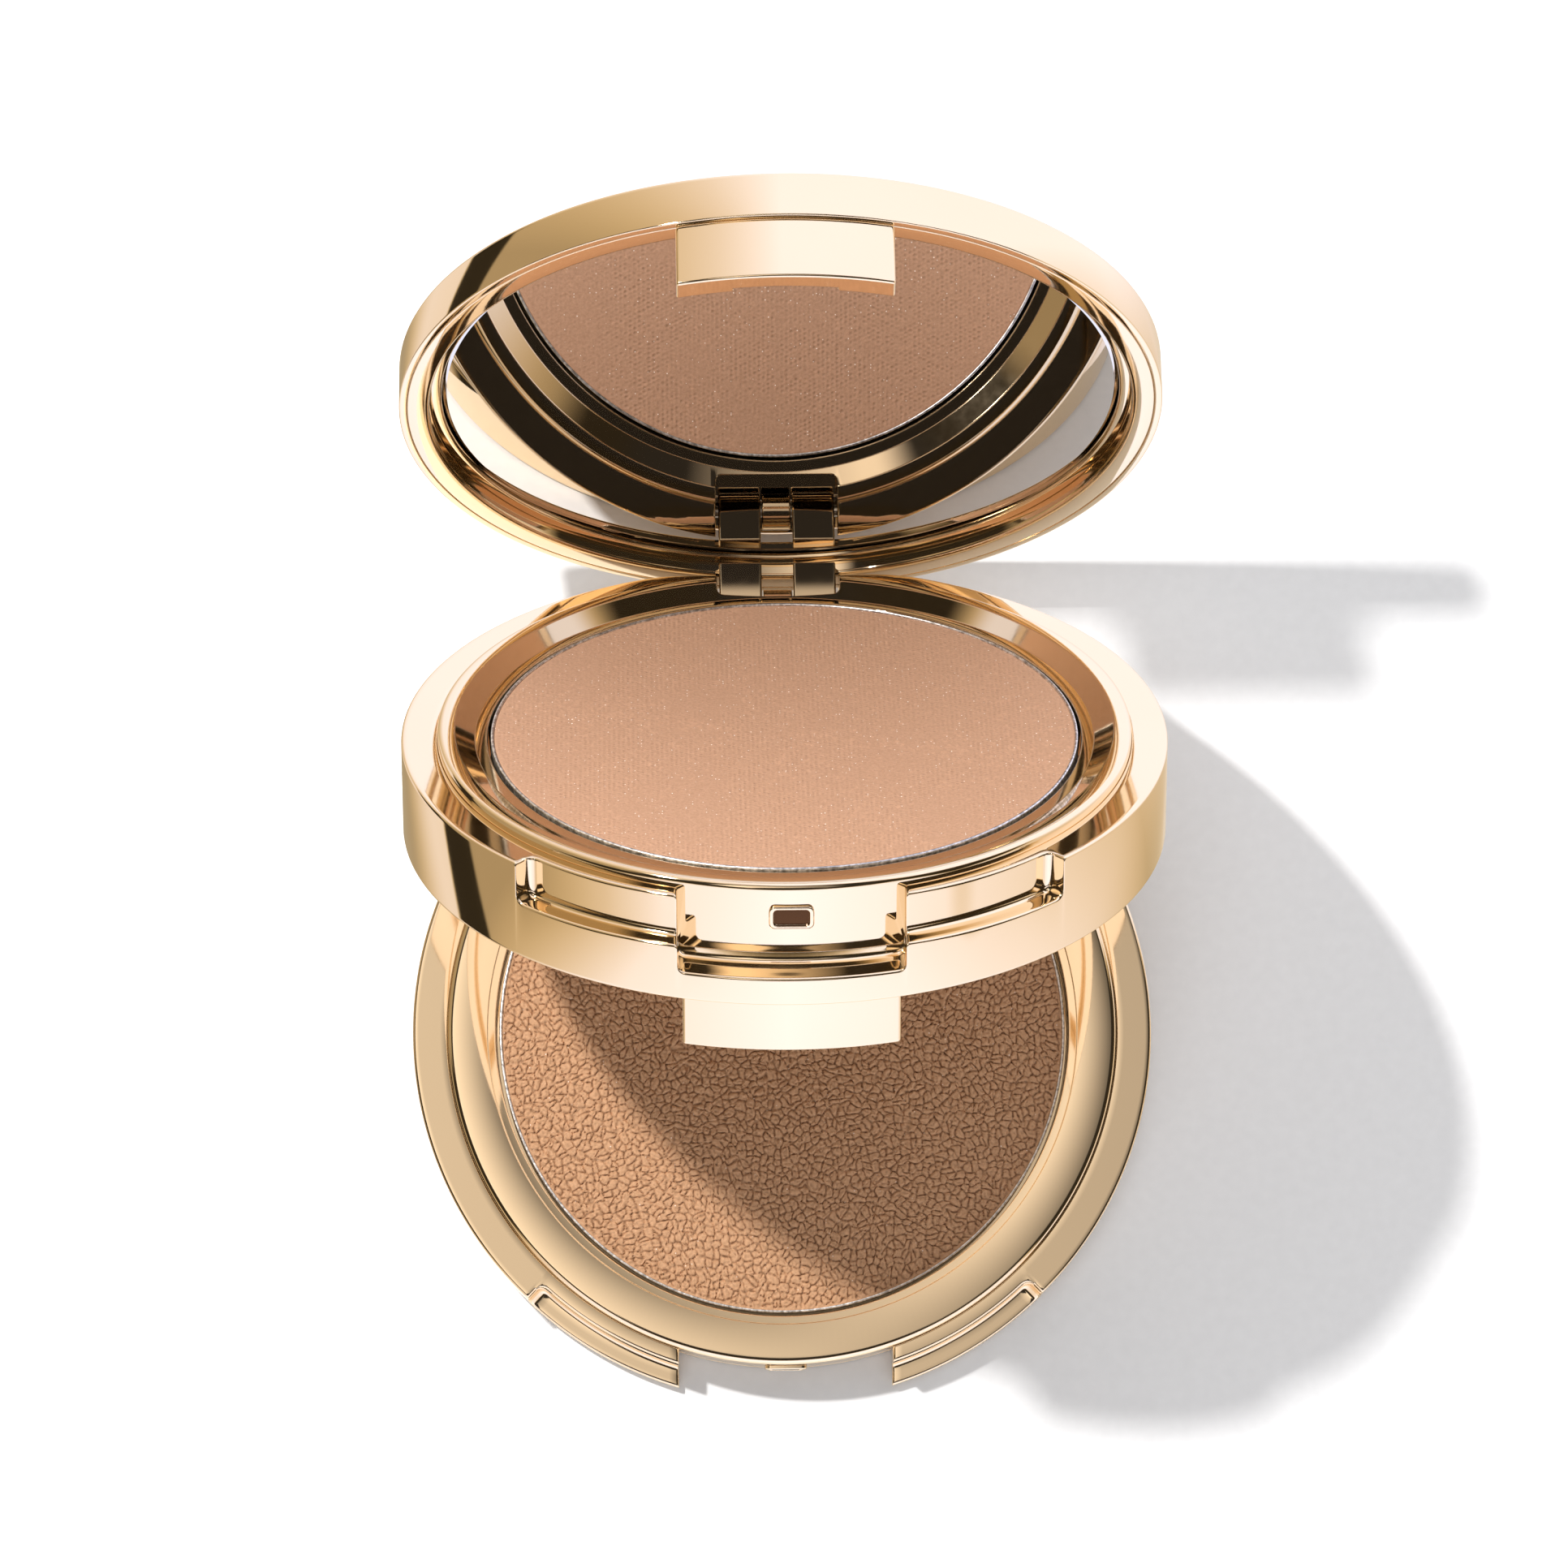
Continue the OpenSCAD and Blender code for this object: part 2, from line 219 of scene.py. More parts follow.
def under_shoulder(point, pin_z):
    """Lower a point of a back rim on to the round shoulder that the next leaf rolls on."""
    x, y, z = point
    radius = PIN_DROP - ROLL_GAP
    ahead = y - PIN_Y
    if ahead <= 0 or z <= pin_z:
        return point
    top = pin_z + math.sqrt(max(radius ** 2 - ahead ** 2, 0))
    return (x, y, min(z, top))


# ---- Rim band: outer ring of a tray with its latch slot, finger notches and hinge slot ----
NOTCH_R = 36.4
NOTCH_DEPTH = 4.3
NOTCH_END = math.radians(44)
WALL_FILLET = 1.0
TOP_ROUND = 0.28
SLOT_LIP = 1.1
NOTCH_STEPS = 24
SIDE_STEPS = 90


def band(name, body, z0, rim, slot_floor, hinge_floor, pin_z, material):
    """slot_floor and hinge_floor are heights, or None where the slot goes right through."""
    if slot_floor is not None:
        nest_r, nest_z = COLLAR_R + NEST_GAP, z0 + 2.45
    else:
        nest_r, nest_z = COLLAR_R + 0.01, z0 + 0.1

    def section(ledge_z, floor_z, notch_r=NOTCH_R, lip=TOP_ROUND, foot=0.9, top=TOP_ROUND):
        corners = [
            (COLLAR_R, nest_z, 0),
            (nest_r, nest_z, 0),
            (nest_r, z0, 0.1),
            (CASE_R, z0, EDGE_R),
            (CASE_R, floor_z, lip),
            (CASE_R - 0.6, floor_z, 0),
            (CASE_R - 1.1, floor_z, 0),
            (notch_r, floor_z, foot),
            (notch_r, ledge_z, top),
            (0.5 * (notch_r + COLLAR_R), ledge_z, 0),
            (COLLAR_R, ledge_z, 0.12),
        ]
        return fillet(corners)

    def place(loop, theta_in, theta_out):
        pts = []
        for r, z in loop:
            t = (r - COLLAR_R) / (CASE_R - COLLAR_R)
            a = theta_in + (theta_out - theta_in) * t
            pts.append(under_shoulder((r * math.sin(a), -r * math.cos(a), z), pin_z))
        return pts

    def at_x(loop, x, back=False):
        a, b = math.asin(x / COLLAR_R), math.asin(x / CASE_R)
        return place(loop, math.pi - a, math.pi - b) if back else place(loop, a, b)

    stations = []
    notch_floor = rim - NOTCH_DEPTH
    if slot_floor is not None:
        foot_top = slot_floor + 1.0
        slot_r = COLLAR_R + 0.04
        flat = section(foot_top, slot_floor, slot_r, lip=SLOT_LIP, foot=0.95, top=0.02)
        stations += [at_x(flat, SLOT_HALF * k / 8 * 0.9) for k in range(9)]
        for d, rise in arc_steps(0.8):
            loop = section(foot_top + rise, slot_floor + rise, slot_r, SLOT_LIP, foot=0.95, top=0.02)
            stations.append(at_x(loop, SLOT_HALF - d))
    for d, drop in reversed(arc_steps(TOP_ROUND)):
        loop = section(rim - drop, notch_floor - drop)
        stations.append(at_x(loop, SLOT_HALF + d))
    start_x = SLOT_HALF + 1
    a0, b0 = math.asin(start_x / COLLAR_R), math.asin(start_x / CASE_R)
    end = NOTCH_END - WALL_FILLET / CASE_R
    notched = section(rim, notch_floor)
    for k in range(NOTCH_STEPS):
        t = k / NOTCH_STEPS
        stations.append(place(notched, a0 + (end - a0) * t, b0 + (end - b0) * t))
    for d, rise in arc_steps(WALL_FILLET):
        loop = section(rim, notch_floor + rise, NOTCH_R + rise * 0.8, foot=0.9)
        a = NOTCH_END - d / CASE_R
        stations.append(place(loop, a, a))
    for d, drop in reversed(arc_steps(TOP_ROUND)):
        loop = section(rim, rim - drop, NOTCH_R + WALL_FILLET * 0.8)
        a = NOTCH_END + d / CASE_R
        stations.append(place(loop, a, a))
    full = section(rim, rim)
    end_x = HINGE_HALF + 0.6
    ha, hb = math.pi - math.asin(end_x / COLLAR_R), math.pi - math.asin(end_x / CASE_R)
    start = NOTCH_END + 2 * TOP_ROUND / CASE_R
    for k in range(SIDE_STEPS + 1):
        t = k / SIDE_STEPS
        stations.append(place(full, start + (ha - start) * t, start + (hb - start) * t))
    for d, drop in arc_steps(TOP_ROUND):
        stations.append(at_x(section(rim - drop, rim - drop), HINGE_HALF + d, back=True))
    if hinge_floor is not None:
        low = section(hinge_floor, hinge_floor)
        stations += [at_x(low, HINGE_HALF * (1 - k / 6), back=True) for k in range(7)]
    mirrored = [[(-x, y, z) for x, y, z in station] for station in stations]
    if slot_floor is not None:
        verts, faces = loft(stations + mirrored[-2:0:-1], closed=True)
    else:
        verts, faces = loft(stations)
        left_verts, left_faces = loft(mirrored)
        faces += [tuple(i + len(verts) for i in face) for face in left_faces]
        verts += left_verts
    return make_piece(name, verts, faces, body, material, "gold_case")


# ---- Turned pieces with the hinge slot cut in their back ----
def slotted_turning(section, ref_r, out_r):
    """section(limit) is the outline, cut back to the radius limit where one is given."""

    def place(loop, a_in, a_out):
        pts = []
        for r, z in loop:
            t = max(0, (r - ref_r) / (out_r - ref_r))
            a = a_in + (a_out - a_in) * t
            pts.append((r * math.sin(a), -r * math.cos(a), z))
        return pts

    x = HINGE_HALF
    full = section(None)
    stations = []
    end_x = x + 0.5
    a_end, b_end = math.pi - math.asin(end_x / ref_r), math.pi - math.asin(end_x / out_r)
    steps = 120
    for k in range(steps + 1):
        t = k / steps
        stations.append(place(full, a_end * t, b_end * t))
    stations.append(place(full, math.pi - math.asin(x / ref_r), math.pi - math.asin(x / out_r)))
    corner_r = 0.7
    cuts = [(x - d, HINGE_Y + rise) for d, rise in reversed(arc_steps(corner_r))]
    cuts += [((x - corner_r) * (1 - k / 5), HINGE_Y) for k in range(1, 6)]
    for cx, cy in cuts:
        a = math.pi - math.atan2(cx, cy)
        stations.append(place(section(math.hypot(cx, cy)), a, a))
    left = [[(-px, py, pz) for px, py, pz in s] for s in reversed(stations[1:-1])]
    return loft(stations + left, closed=True)


def tray(name, body, z0, rim, collar_top, lip_w, lip_z, cut_z, material):
    """Tray insert: a cup for the pan with a raised collar, collar_top wide at its top. A lip, lip_w
    wide and lip_z high, runs round the well, and the hinge slot goes down to cut_z."""
    top = rim + COLLAR_RISE
    out_r = COLLAR_R - JOIN_GAP
    top_in = out_r - collar_top
    lip_r = WELL_R + lip_w
    well_z = rim - WELL_DEPTH

    def section(limit):
        if limit is None:
            cut = [(out_r, cut_z + 0.01, 0), (out_r, top, 0.6), (top_in, top, 0.4)]
        else:
            slope = (top - lip_z) / (top_in - lip_r)
            wall_z = top if limit >= top_in else lip_z + slope * (limit - lip_r)
            inner = min(top_in, lip_r + 0.7 * (limit - lip_r))
            inner_z = lip_z + slope * (inner - lip_r)
            cut = [(limit, cut_z + 0.01, 0), (limit, wall_z, 0.12), (inner, inner_z, 0.35)]
        foot = out_r if limit is None or cut_z > z0 else limit
        return fillet(
            [(0, well_z, 0), (0, z0, 0), (foot, z0, 0), (foot, cut_z, 0)]
            + cut
            + [(lip_r, lip_z, 0.25), (WELL_R, lip_z, 0.14), (WELL_R, well_z, 0)]
        )

    verts, faces = slotted_turning(section, WELL_R, out_r)
    return make_piece(name, verts, faces, body, material, "gold_case")


def floor_plate(name, body, z0, z1, out_r, slotted, material):
    """Flat plate with a shallow round recess below for the label."""
    label_r = 25 + JOIN_GAP
    label_t = 0.2

    def section(limit):
        r = out_r if limit is None or not slotted else limit
        return fillet([(0, z1, 0), (0, z0 + label_t, 0), (label_r, z0 + label_t, 0), (label_r, z0, 0.05),
                       (r, z0, 0.1), (r, z1, 0.1)])

    verts, faces = slotted_turning(section, label_r, out_r)
    return make_piece(name, verts, faces, body, material, "gold_case")


# ---- Prism: a plan outline pulled up between two heights, edges rounded by a bevel ----
def prism(name, outline, z0, z1, body, material, slot, round_r=0.25, axis="Z", sharp=35):
    n = len(outline)
    if axis == "Z":
        verts = [(x, y, z0) for x, y in outline] + [(x, y, z1) for x, y in outline]
    else:
        verts = [(z0, y, z) for y, z in outline] + [(z1, y, z) for y, z in outline]
    faces = [tuple(range(n)), tuple(range(2 * n - 1, n - 1, -1))]
    faces += [(k, (k + 1) % n, n + (k + 1) % n, n + k) for k in range(n)]
    obj = make_piece(name, verts, faces, body, material, slot, sharp)
    mod = obj.modifiers.new("soft_edges", "BEVEL")
    mod.width = round_r * MM
    mod.segments = 4
    mod.limit_method = "ANGLE"
    mod.angle_limit = math.radians(50)
    mod.use_clamp_overlap = False
    mod.harden_normals = True


def tongue_outline(relief=0.55, relief_half=5.0):
    """Plan of a latch tongue: two arcs about the case's axis, with a shallow relief inside."""
    pts = []
    for k in range(25):
        x = -TONGUE_HALF + 2 * TONGUE_HALF * k / 24
        pts.append((x, -math.sqrt(TONGUE_OUT ** 2 - x * x)))
    inner = [TONGUE_HALF - (TONGUE_HALF - relief_half) * k / 6 for k in range(7)]
    mid = [relief_half - 2 * relief_half * k / 10 for k in range(11)]
    for x in inner:
        pts.append((x, -math.sqrt(TONGUE_IN ** 2 - x * x)))
    for x in mid:
        pts.append((x, -math.sqrt((TONGUE_IN + relief) ** 2 - x * x)))
    for x in reversed(inner):
        pts.append((-x, -math.sqrt(TONGUE_IN ** 2 - x * x)))
    return pts


def lug_outline(radius, pin_z, top_z, steps=16):
    """Side view (y, z) of a hinge lug: straight from top_z down to a half round about the pin."""
    pts = [(PIN_Y - radius, top_z)]
    for k in range(steps + 1):
        a = math.pi + math.pi * k / steps
        pts.append((PIN_Y + radius * math.cos(a), pin_z + radius * math.sin(a)))
    pts.append((PIN_Y + radius, top_z))
    return pts


# ---- Materials ----
def new_material(name):
    mat = bpy.data.materials.new(name)
    mat.use_nodes = True
    tree = mat.node_tree
    return mat, tree, tree.nodes["Principled BSDF"]


def node(tree, kind, inputs=None, **props):
    """A shader node with its properties and its unlinked inputs set."""
    n = tree.nodes.new(kind)
    for key, value in props.items():
        setattr(n, key, value)
    for key, value in (inputs or {}).items():
        n.inputs[key].default_value = value
    return n


def polished_gold():
    mat, tree, bsdf = new_material("polished_gold")
    link = tree.links.new
    bsdf.inputs["Metallic"].default_value = 1.0
    coords = node(tree, "ShaderNodeTexCoord")
    tone = node(tree, "ShaderNodeTexNoise", {"Scale": 45.0, "Detail": 2.0})
    link(coords.outputs["Object"], tone.inputs["Vector"])
    ramp = node(tree, "ShaderNodeValToRGB")
    ramp.color_ramp.elements[0].position = 0.3
    ramp.color_ramp.elements[0].color = (0.91, 0.725, 0.49, 1)
    ramp.color_ramp.elements[1].position = 0.7
    ramp.color_ramp.elements[1].color = (0.93, 0.745, 0.51, 1)
    link(tone.outputs["Fac"], ramp.inputs["Fac"])
    link(ramp.outputs["Color"], bsdf.inputs["Base Color"])
    haze = node(tree, "ShaderNodeTexNoise", {"Scale": 900.0, "Detail": 4.0})
    link(coords.outputs["Object"], haze.inputs["Vector"])
    rough = node(tree, "ShaderNodeMapRange", {"To Min": 0.03, "To Max": 0.07})
    link(haze.outputs["Fac"], rough.inputs["Value"])
    link(rough.outputs["Result"], bsdf.inputs["Roughness"])
    edge = node(tree, "ShaderNodeBevel", {"Radius": 0.12 * MM}, samples=6)
    link(edge.outputs["Normal"], bsdf.inputs["Normal"])
    return mat


def pan_metal():
    mat, tree, bsdf = new_material("pan_aluminium")
    link = tree.links.new
    bsdf.inputs["Metallic"].default_value = 1.0
    coords = node(tree, "ShaderNodeTexCoord")
    grit = node(tree, "ShaderNodeTexNoise", {"Scale": 2500.0, "Detail": 3.0})
    link(coords.outputs["Object"], grit.inputs["Vector"])
    ramp = node(tree, "ShaderNodeValToRGB")
    ramp.color_ramp.elements[0].position = 0.35
    ramp.color_ramp.elements[0].color = (0.42, 0.42, 0.43, 1)
    ramp.color_ramp.elements[1].position = 0.65
    ramp.color_ramp.elements[1].color = (0.93, 0.93, 0.94, 1)
    link(grit.outputs["Fac"], ramp.inputs["Fac"])
    link(ramp.outputs["Color"], bsdf.inputs["Base Color"])
    rough = node(tree, "ShaderNodeMapRange", {"To Min": 0.2, "To Max": 0.5})
    link(grit.outputs["Fac"], rough.inputs["Value"])
    link(rough.outputs["Result"], bsdf.inputs["Roughness"])
    bump = node(tree, "ShaderNodeBump", {"Strength": 0.5, "Distance": 0.00006})
    link(grit.outputs["Fac"], bump.inputs["Height"])
    link(bump.outputs["Normal"], bsdf.inputs["Normal"])
    return mat


def mirror_silver():
    mat, tree, bsdf = new_material("mirror_silver")
    link = tree.links.new
    bsdf.inputs["Metallic"].default_value = 1.0
    coords = node(tree, "ShaderNodeTexCoord")
    haze = node(tree, "ShaderNodeTexNoise", {"Scale": 60.0, "Detail": 3.0})
    link(coords.outputs["Object"], haze.inputs["Vector"])
    ramp = node(tree, "ShaderNodeValToRGB")
    ramp.color_ramp.elements[0].color = (0.735, 0.715, 0.695, 1)
    ramp.color_ramp.elements[1].color = (0.755, 0.735, 0.715, 1)
    link(haze.outputs["Fac"], ramp.inputs["Fac"])
    link(ramp.outputs["Color"], bsdf.inputs["Base Color"])
    rough = node(tree, "ShaderNodeMapRange", {"To Min": 0.004, "To Max": 0.012})
    link(haze.outputs["Fac"], rough.inputs["Value"])
    link(rough.outputs["Result"], bsdf.inputs["Roughness"])
    return mat


def pressed_powder(name, light, deep, shimmer):
    """Powder between a light and a deep colour; flakes brighter than shimmer show as mica."""
    mat, tree, bsdf = new_material(name)
    link = tree.links.new
    bsdf.inputs["Roughness"].default_value = 0.75
    coords = node(tree, "ShaderNodeTexCoord")
    grain = node(tree, "ShaderNodeTexNoise", {"Scale": 3500.0, "Detail": 5.0, "Roughness": 0.7})
    link(coords.outputs["Object"], grain.inputs["Vector"])
    ramp = node(tree, "ShaderNodeValToRGB")
    ramp.color_ramp.elements[0].position = 0.3
    ramp.color_ramp.elements[0].color = (*deep, 1)
    ramp.color_ramp.elements[1].position = 0.7
    ramp.color_ramp.elements[1].color = (*light, 1)
    link(grain.outputs["Fac"], ramp.inputs["Fac"])
    bump = node(tree, "ShaderNodeBump", {"Strength": 0.6, "Distance": 0.00008})
    link(grain.outputs["Fac"], bump.inputs["Height"])
    link(bump.outputs["Normal"], bsdf.inputs["Normal"])
    # A few flakes of mica: pale in their own colour, and painted near white as a painted glint
    flakes = node(tree, "ShaderNodeTexVoronoi", {"Scale": 3000.0})
    link(coords.outputs["Object"], flakes.inputs["Vector"])
    near = node(tree, "ShaderNodeMapRange",
                {"From Min": 0.1, "From Max": 0.2, "To Min": 1.0, "To Max": 0.0})
    link(flakes.outputs["Distance"], near.inputs["Value"])
    tone = node(tree, "ShaderNodeSeparateColor")
    link(flakes.outputs["Color"], tone.inputs["Color"])
    rare = node(tree, "ShaderNodeMath", {1: shimmer}, operation="GREATER_THAN")
    link(tone.outputs["Red"], rare.inputs[0])
    flake = node(tree, "ShaderNodeMath", operation="MULTIPLY")
    link(near.outputs["Result"], flake.inputs[0])
    link(rare.outputs["Value"], flake.inputs[1])
    colour = node(tree, "ShaderNodeMix", {"B": (0.98, 0.9, 0.82, 1)}, data_type="RGBA")
    link(ramp.outputs["Color"], colour.inputs["A"])
    link(flake.outputs["Value"], colour.inputs["Factor"])
    # Painted shade: the base colour is darker in the creases of the relief and a little lighter on its ridges, by
    # pointiness
    shape = node(tree, "ShaderNodeNewGeometry")
    crease_shade = node(tree, "ShaderNodeMapRange",
                  {"From Min": 0.40, "From Max": 0.52, "To Min": 0.55, "To Max": 1.06})
    link(shape.outputs["Pointiness"], crease_shade.inputs["Value"])
    shade = node(tree, "ShaderNodeVectorMath", operation="SCALE")
    link(colour.outputs["Result"], shade.inputs[0])
    link(crease_shade.outputs["Result"], shade.inputs["Scale"])
    link(shade.outputs["Vector"], bsdf.inputs["Base Color"])
    return mat


def plain(name, colour, roughness, metallic=0.0, scale=800.0):
    """A quiet moulded or drawn finish with a fine, even grain."""
    mat, tree, bsdf = new_material(name)
    link = tree.links.new
    bsdf.inputs["Metallic"].default_value = metallic
    coords = node(tree, "ShaderNodeTexCoord")
    grain = node(tree, "ShaderNodeTexNoise", {"Scale": scale, "Detail": 4.0})
    link(coords.outputs["Object"], grain.inputs["Vector"])
    ramp = node(tree, "ShaderNodeValToRGB")
    ramp.color_ramp.elements[0].color = (*[c * 0.92 for c in colour], 1)
    ramp.color_ramp.elements[1].color = (*colour, 1)
    link(grain.outputs["Fac"], ramp.inputs["Fac"])
    link(ramp.outputs["Color"], bsdf.inputs["Base Color"])
    rough = node(tree, "ShaderNodeMapRange", {"To Min": roughness * 0.85, "To Max": roughness})
    link(grain.outputs["Fac"], rough.inputs["Value"])
    link(rough.outputs["Result"], bsdf.inputs["Roughness"])
    return mat


GOLD = polished_gold()
PAN = pan_metal()
MIRROR = mirror_silver()
MIDDLE_POWDER = pressed_powder("middle_powder", (0.45, 0.255, 0.16), (0.345, 0.187, 0.108), 0.86)
BASE_POWDER = pressed_powder("base_powder", (0.55, 0.315, 0.175), (0.42, 0.222, 0.11), 0.96)
# Painted shade: dark brown metal for the catches' sunk faces, standing in for the shade of a hole.
PAINTED_SHADE = plain("catch_face_painted_shade", (0.10, 0.045, 0.02), 0.3, metallic=1.0)
STEEL = plain("pin_steel", (0.7, 0.7, 0.7), 0.3, metallic=1.0)
ADHESIVE = plain("adhesive", (0.85, 0.83, 0.78), 0.6)
LABEL = plain("label_satin", (0.78, 0.68, 0.52), 0.45)

# ---- Case ----
base_band = band(
    "base_band", "base", z0=0, rim=BASE_RIM, slot_floor=None, hinge_floor=None, pin_z=BASE_PIN_Z,
    material=GOLD,
)
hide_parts("base_shell")
floor_plate("base_floor", "base", z0=0, z1=0.9, out_r=COLLAR_R, slotted=True, material=GOLD)
base_collar = tray(
    "base_collar", "base", z0=0.9, rim=BASE_RIM, collar_top=4.2, lip_w=0.9, lip_z=BASE_RIM + 0.9,
    cut_z=0.9, material=GOLD,
)
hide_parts("base_tray")
middle_band = band(
    "middle_case_band", "middle", z0=BASE_RIM + SHUT_GAP, rim=MIDDLE_RIM,
    slot_floor=MIDDLE_RIM - SLOT_DEPTH, hinge_floor=LID_PIN_Z - 2.4, pin_z=LID_PIN_Z, material=GOLD,
)
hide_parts("middle_band")
middle_collar = tray(
    "middle_collar", "middle", z0=7.95, rim=MIDDLE_RIM, collar_top=1.75, lip_w=1.25,
    lip_z=MIDDLE_RIM - 0.1, cut_z=9.8, material=GOLD,
)
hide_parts("middle_tray")
under = floor_plate(
    "middle_under_plate", "middle", z0=6.9, z1=7.9, out_r=COLLAR_R + 0.37, slotted=False, material=GOLD,
)
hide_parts("middle_underplate")

# Lid: cover with its outer wall, and the frame that holds the mirror
cover = make_piece("lid_outer_cover", *disc_lathe([
    (0, LID_TOP, 0), (CASE_R, LID_TOP, EDGE_R), (CASE_R, MIDDLE_RIM, 0.15),
    (CASE_R - COVER_T, MIDDLE_RIM, 0.1), (CASE_R - COVER_T, LID_TOP - COVER_T, 0),
    (0, LID_TOP - COVER_T, 0),
]), "lid", GOLD, "gold_case")
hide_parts("lid_cover")
lid_ring = make_piece("lid_mirror_frame", *disc_lathe([
    (0, FRAME_TOP, 0), (FRAME_OUT, FRAME_TOP, 0.1), (FRAME_OUT, MIDDLE_RIM, 0.12),
    (FRAME_IN, MIDDLE_RIM, 0.5), (FRAME_IN, FRAME_FLOOR, 0), (0, FRAME_FLOOR, 0),
]), "lid", GOLD, "gold_case")
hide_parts("lid_frame")
BEZEL_IN, BEZEL_OUT, BEZEL_Z = 34.22, FRAME_IN - JOIN_GAP, MIRROR_Z - 0.6
bezel = make_piece("mirror_retainer", *lathe([
    (BEZEL_IN, BEZEL_Z, 0.2), (BEZEL_OUT, BEZEL_Z, 0.1), (BEZEL_OUT, MIRROR_Z, 0),
    (BEZEL_IN, MIRROR_Z, 0.05),
]), "lid", GOLD, "gold_case")
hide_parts("mirror_bezel")
GLASS_R, GLASS_BACK, BEVEL_IN, BEVEL_RISE = 34.98, MIRROR_Z + 1.18, 33.7, 0.45
glass = make_piece("mirror_plate", *disc_lathe([
    (0, MIRROR_Z, 0), (BEVEL_IN, MIRROR_Z, 0.02), (34.9, MIRROR_Z + BEVEL_RISE, 0.05),
    (GLASS_R, GLASS_BACK, 0.05), (0, GLASS_BACK, 0),
]), "lid", MIRROR, "mirror", sharp=4)
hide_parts("mirror_glass")

# Tongues, lugs, knuckles and catches
prism("lid_tongue", tongue_outline(), 9.3, MIDDLE_RIM + 0.1, "lid", GOLD, "gold_case", round_r=0.3)
prism("middle_tongue", tongue_outline(), 0.3, BASE_RIM + 0.4, "middle", GOLD, "gold_case", round_r=0.3)
for side, label in ((-1, "left"), (1, "right")):
    x0, x1 = sorted((side * LUG_OUT, side * (LUG_OUT - LUG_W)))
    prism(f"lid_lug_{label}", lug_outline(2, LID_PIN_Z, MIDDLE_RIM + 0.9), x0, x1, "lid", GOLD,
          "gold_case", round_r=0.2, axis="X")
    prism(f"middle_lug_{label}", lug_outline(1.6, BASE_PIN_Z, 6.9), x0, x1, "middle", GOLD,
          "gold_case", round_r=0.2, axis="X")


def knuckle_outline(radius, pin_z, floor_z, root_y):
    """Side view (y, z) of a knuckle: a round about the pin on a foot that runs in to root_y."""
    pts = [(root_y, floor_z), (PIN_Y + 0.6 * radius, floor_z)]
    for k in range(17):
        a = math.radians(-50 + 220 * k / 16)
        pts.append((PIN_Y + radius * math.cos(a), pin_z + radius * math.sin(a)))
    pts.append((root_y, pin_z))
    return pts


prism("lid_hinge_knuckle", knuckle_outline(1.98, LID_PIN_Z, 9.7, COLLAR_R + 0.05),
      -KNUCKLE_HALF, KNUCKLE_HALF, "middle", GOLD, "gold_case", round_r=0.15, axis="X")
prism("base_hinge_knuckle", knuckle_outline(1.58, BASE_PIN_Z, 0.32, HINGE_Y - 0.15),
      -KNUCKLE_HALF, KNUCKLE_HALF, "base", GOLD, "gold_case", round_r=0.15, axis="X")


def rounded_rect(half_w, half_h, radius, steps=8):
    pts = []
    for cx, cz, start in ((1, 1, 0), (-1, 1, 90), (-1, -1, 180), (1, -1, 270)):
        for k in range(steps + 1):
            a = math.radians(start + 90 * k / steps)
            pts.append((cx * (half_w - radius) + radius * math.cos(a),
                        cz * (half_h - radius) + radius * math.sin(a)))
    return pts


def catch(name, body, rim, node_name):
    """Catch: a bright raised frame round a sunk face, stepped out from the collar's wall. The sunk face is painted
    shade: a dark brown that stands in for the shade of a hole.
    """
    frame_rings = [(2.2, 1.2, 0.6, 0.0), (2.2, 1.2, 0.6, 0.3), (2.1, 1.1, 0.55, 0.4),
                   (1.8, 0.92, 0.45, 0.4), (1.7, 0.82, 0.4, 0.12)]
    face_rings = [(1.72, 0.84, 0.4, 0.02), (1.72, 0.84, 0.4, 0.13), (1.4, 0.6, 0.3, 0.16)]
    # The face piece takes the painted shade; the frame is gold.
    for part, rings, material in (("", frame_rings, GOLD), ("_face", face_rings, PAINTED_SHADE)):
        sections = []
        for half_w, half_h, radius, proud in rings:
            loop = []
            for x, z in rounded_rect(half_w, half_h, radius):
                wall_y = -math.sqrt(COLLAR_R ** 2 - x * x)
                loop.append((x, wall_y - proud, rim - CATCH_DROP + z))
            sections.append(loop)
        piece = make_piece(name + part, *loft(sections), body, material, "gold_case")
        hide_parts(node_name)


catch("base_catch_nub", "base", BASE_RIM, "base_catch")
catch("middle_catch_nub", "middle", MIDDLE_RIM, "middle_catch")

# ---- Pans and powders ----
for body, rim in (("base", BASE_RIM), ("middle", MIDDLE_RIM)):
    foot = rim - WELL_DEPTH + 0.2
    pan = make_piece(f"{body}_metal_pan", *disc_lathe([
        (0, foot, 0), (PAN_R, foot, 0.4), (PAN_R, rim + 0.1, 0.12), (POWDER_R, rim + 0.1, 0.1),
        (POWDER_R, foot + 0.3, 0), (0, foot + 0.3, 0),
    ]), body, PAN, "pan")
    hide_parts(f"{body}_pan")


def disc_points(radius, spacing):
    """Points of a disc in rings of 6, 12, 18... and the triangles between them."""
    rings = int(radius / spacing)
    pts = [(0.0, 0.0)]
    starts = [0]
    for k in range(1, rings + 1):
        starts.append(len(pts))
        a = np.arange(6 * k) * 2 * np.pi / (6 * k)
        pts += list(zip(radius * k / rings * np.cos(a), radius * k / rings * np.sin(a)))
    tris = []
    for k in range(1, rings + 1):
        outer, n_out = starts[k], 6 * k
        inner, n_in = starts[k - 1], max(1, 6 * (k - 1))
        for sector in range(6):
            for j in range(k):
                o = sector * k + j
                i = sector * (k - 1) + j
                tris.append((inner + i % n_in, outer + o, outer + (o + 1) % n_out))
                if j < k - 1:
                    tris.append((inner + i % n_in, outer + (o + 1) % n_out, inner + (i + 1) % n_in))
    return np.array(pts), tris, starts[-1]


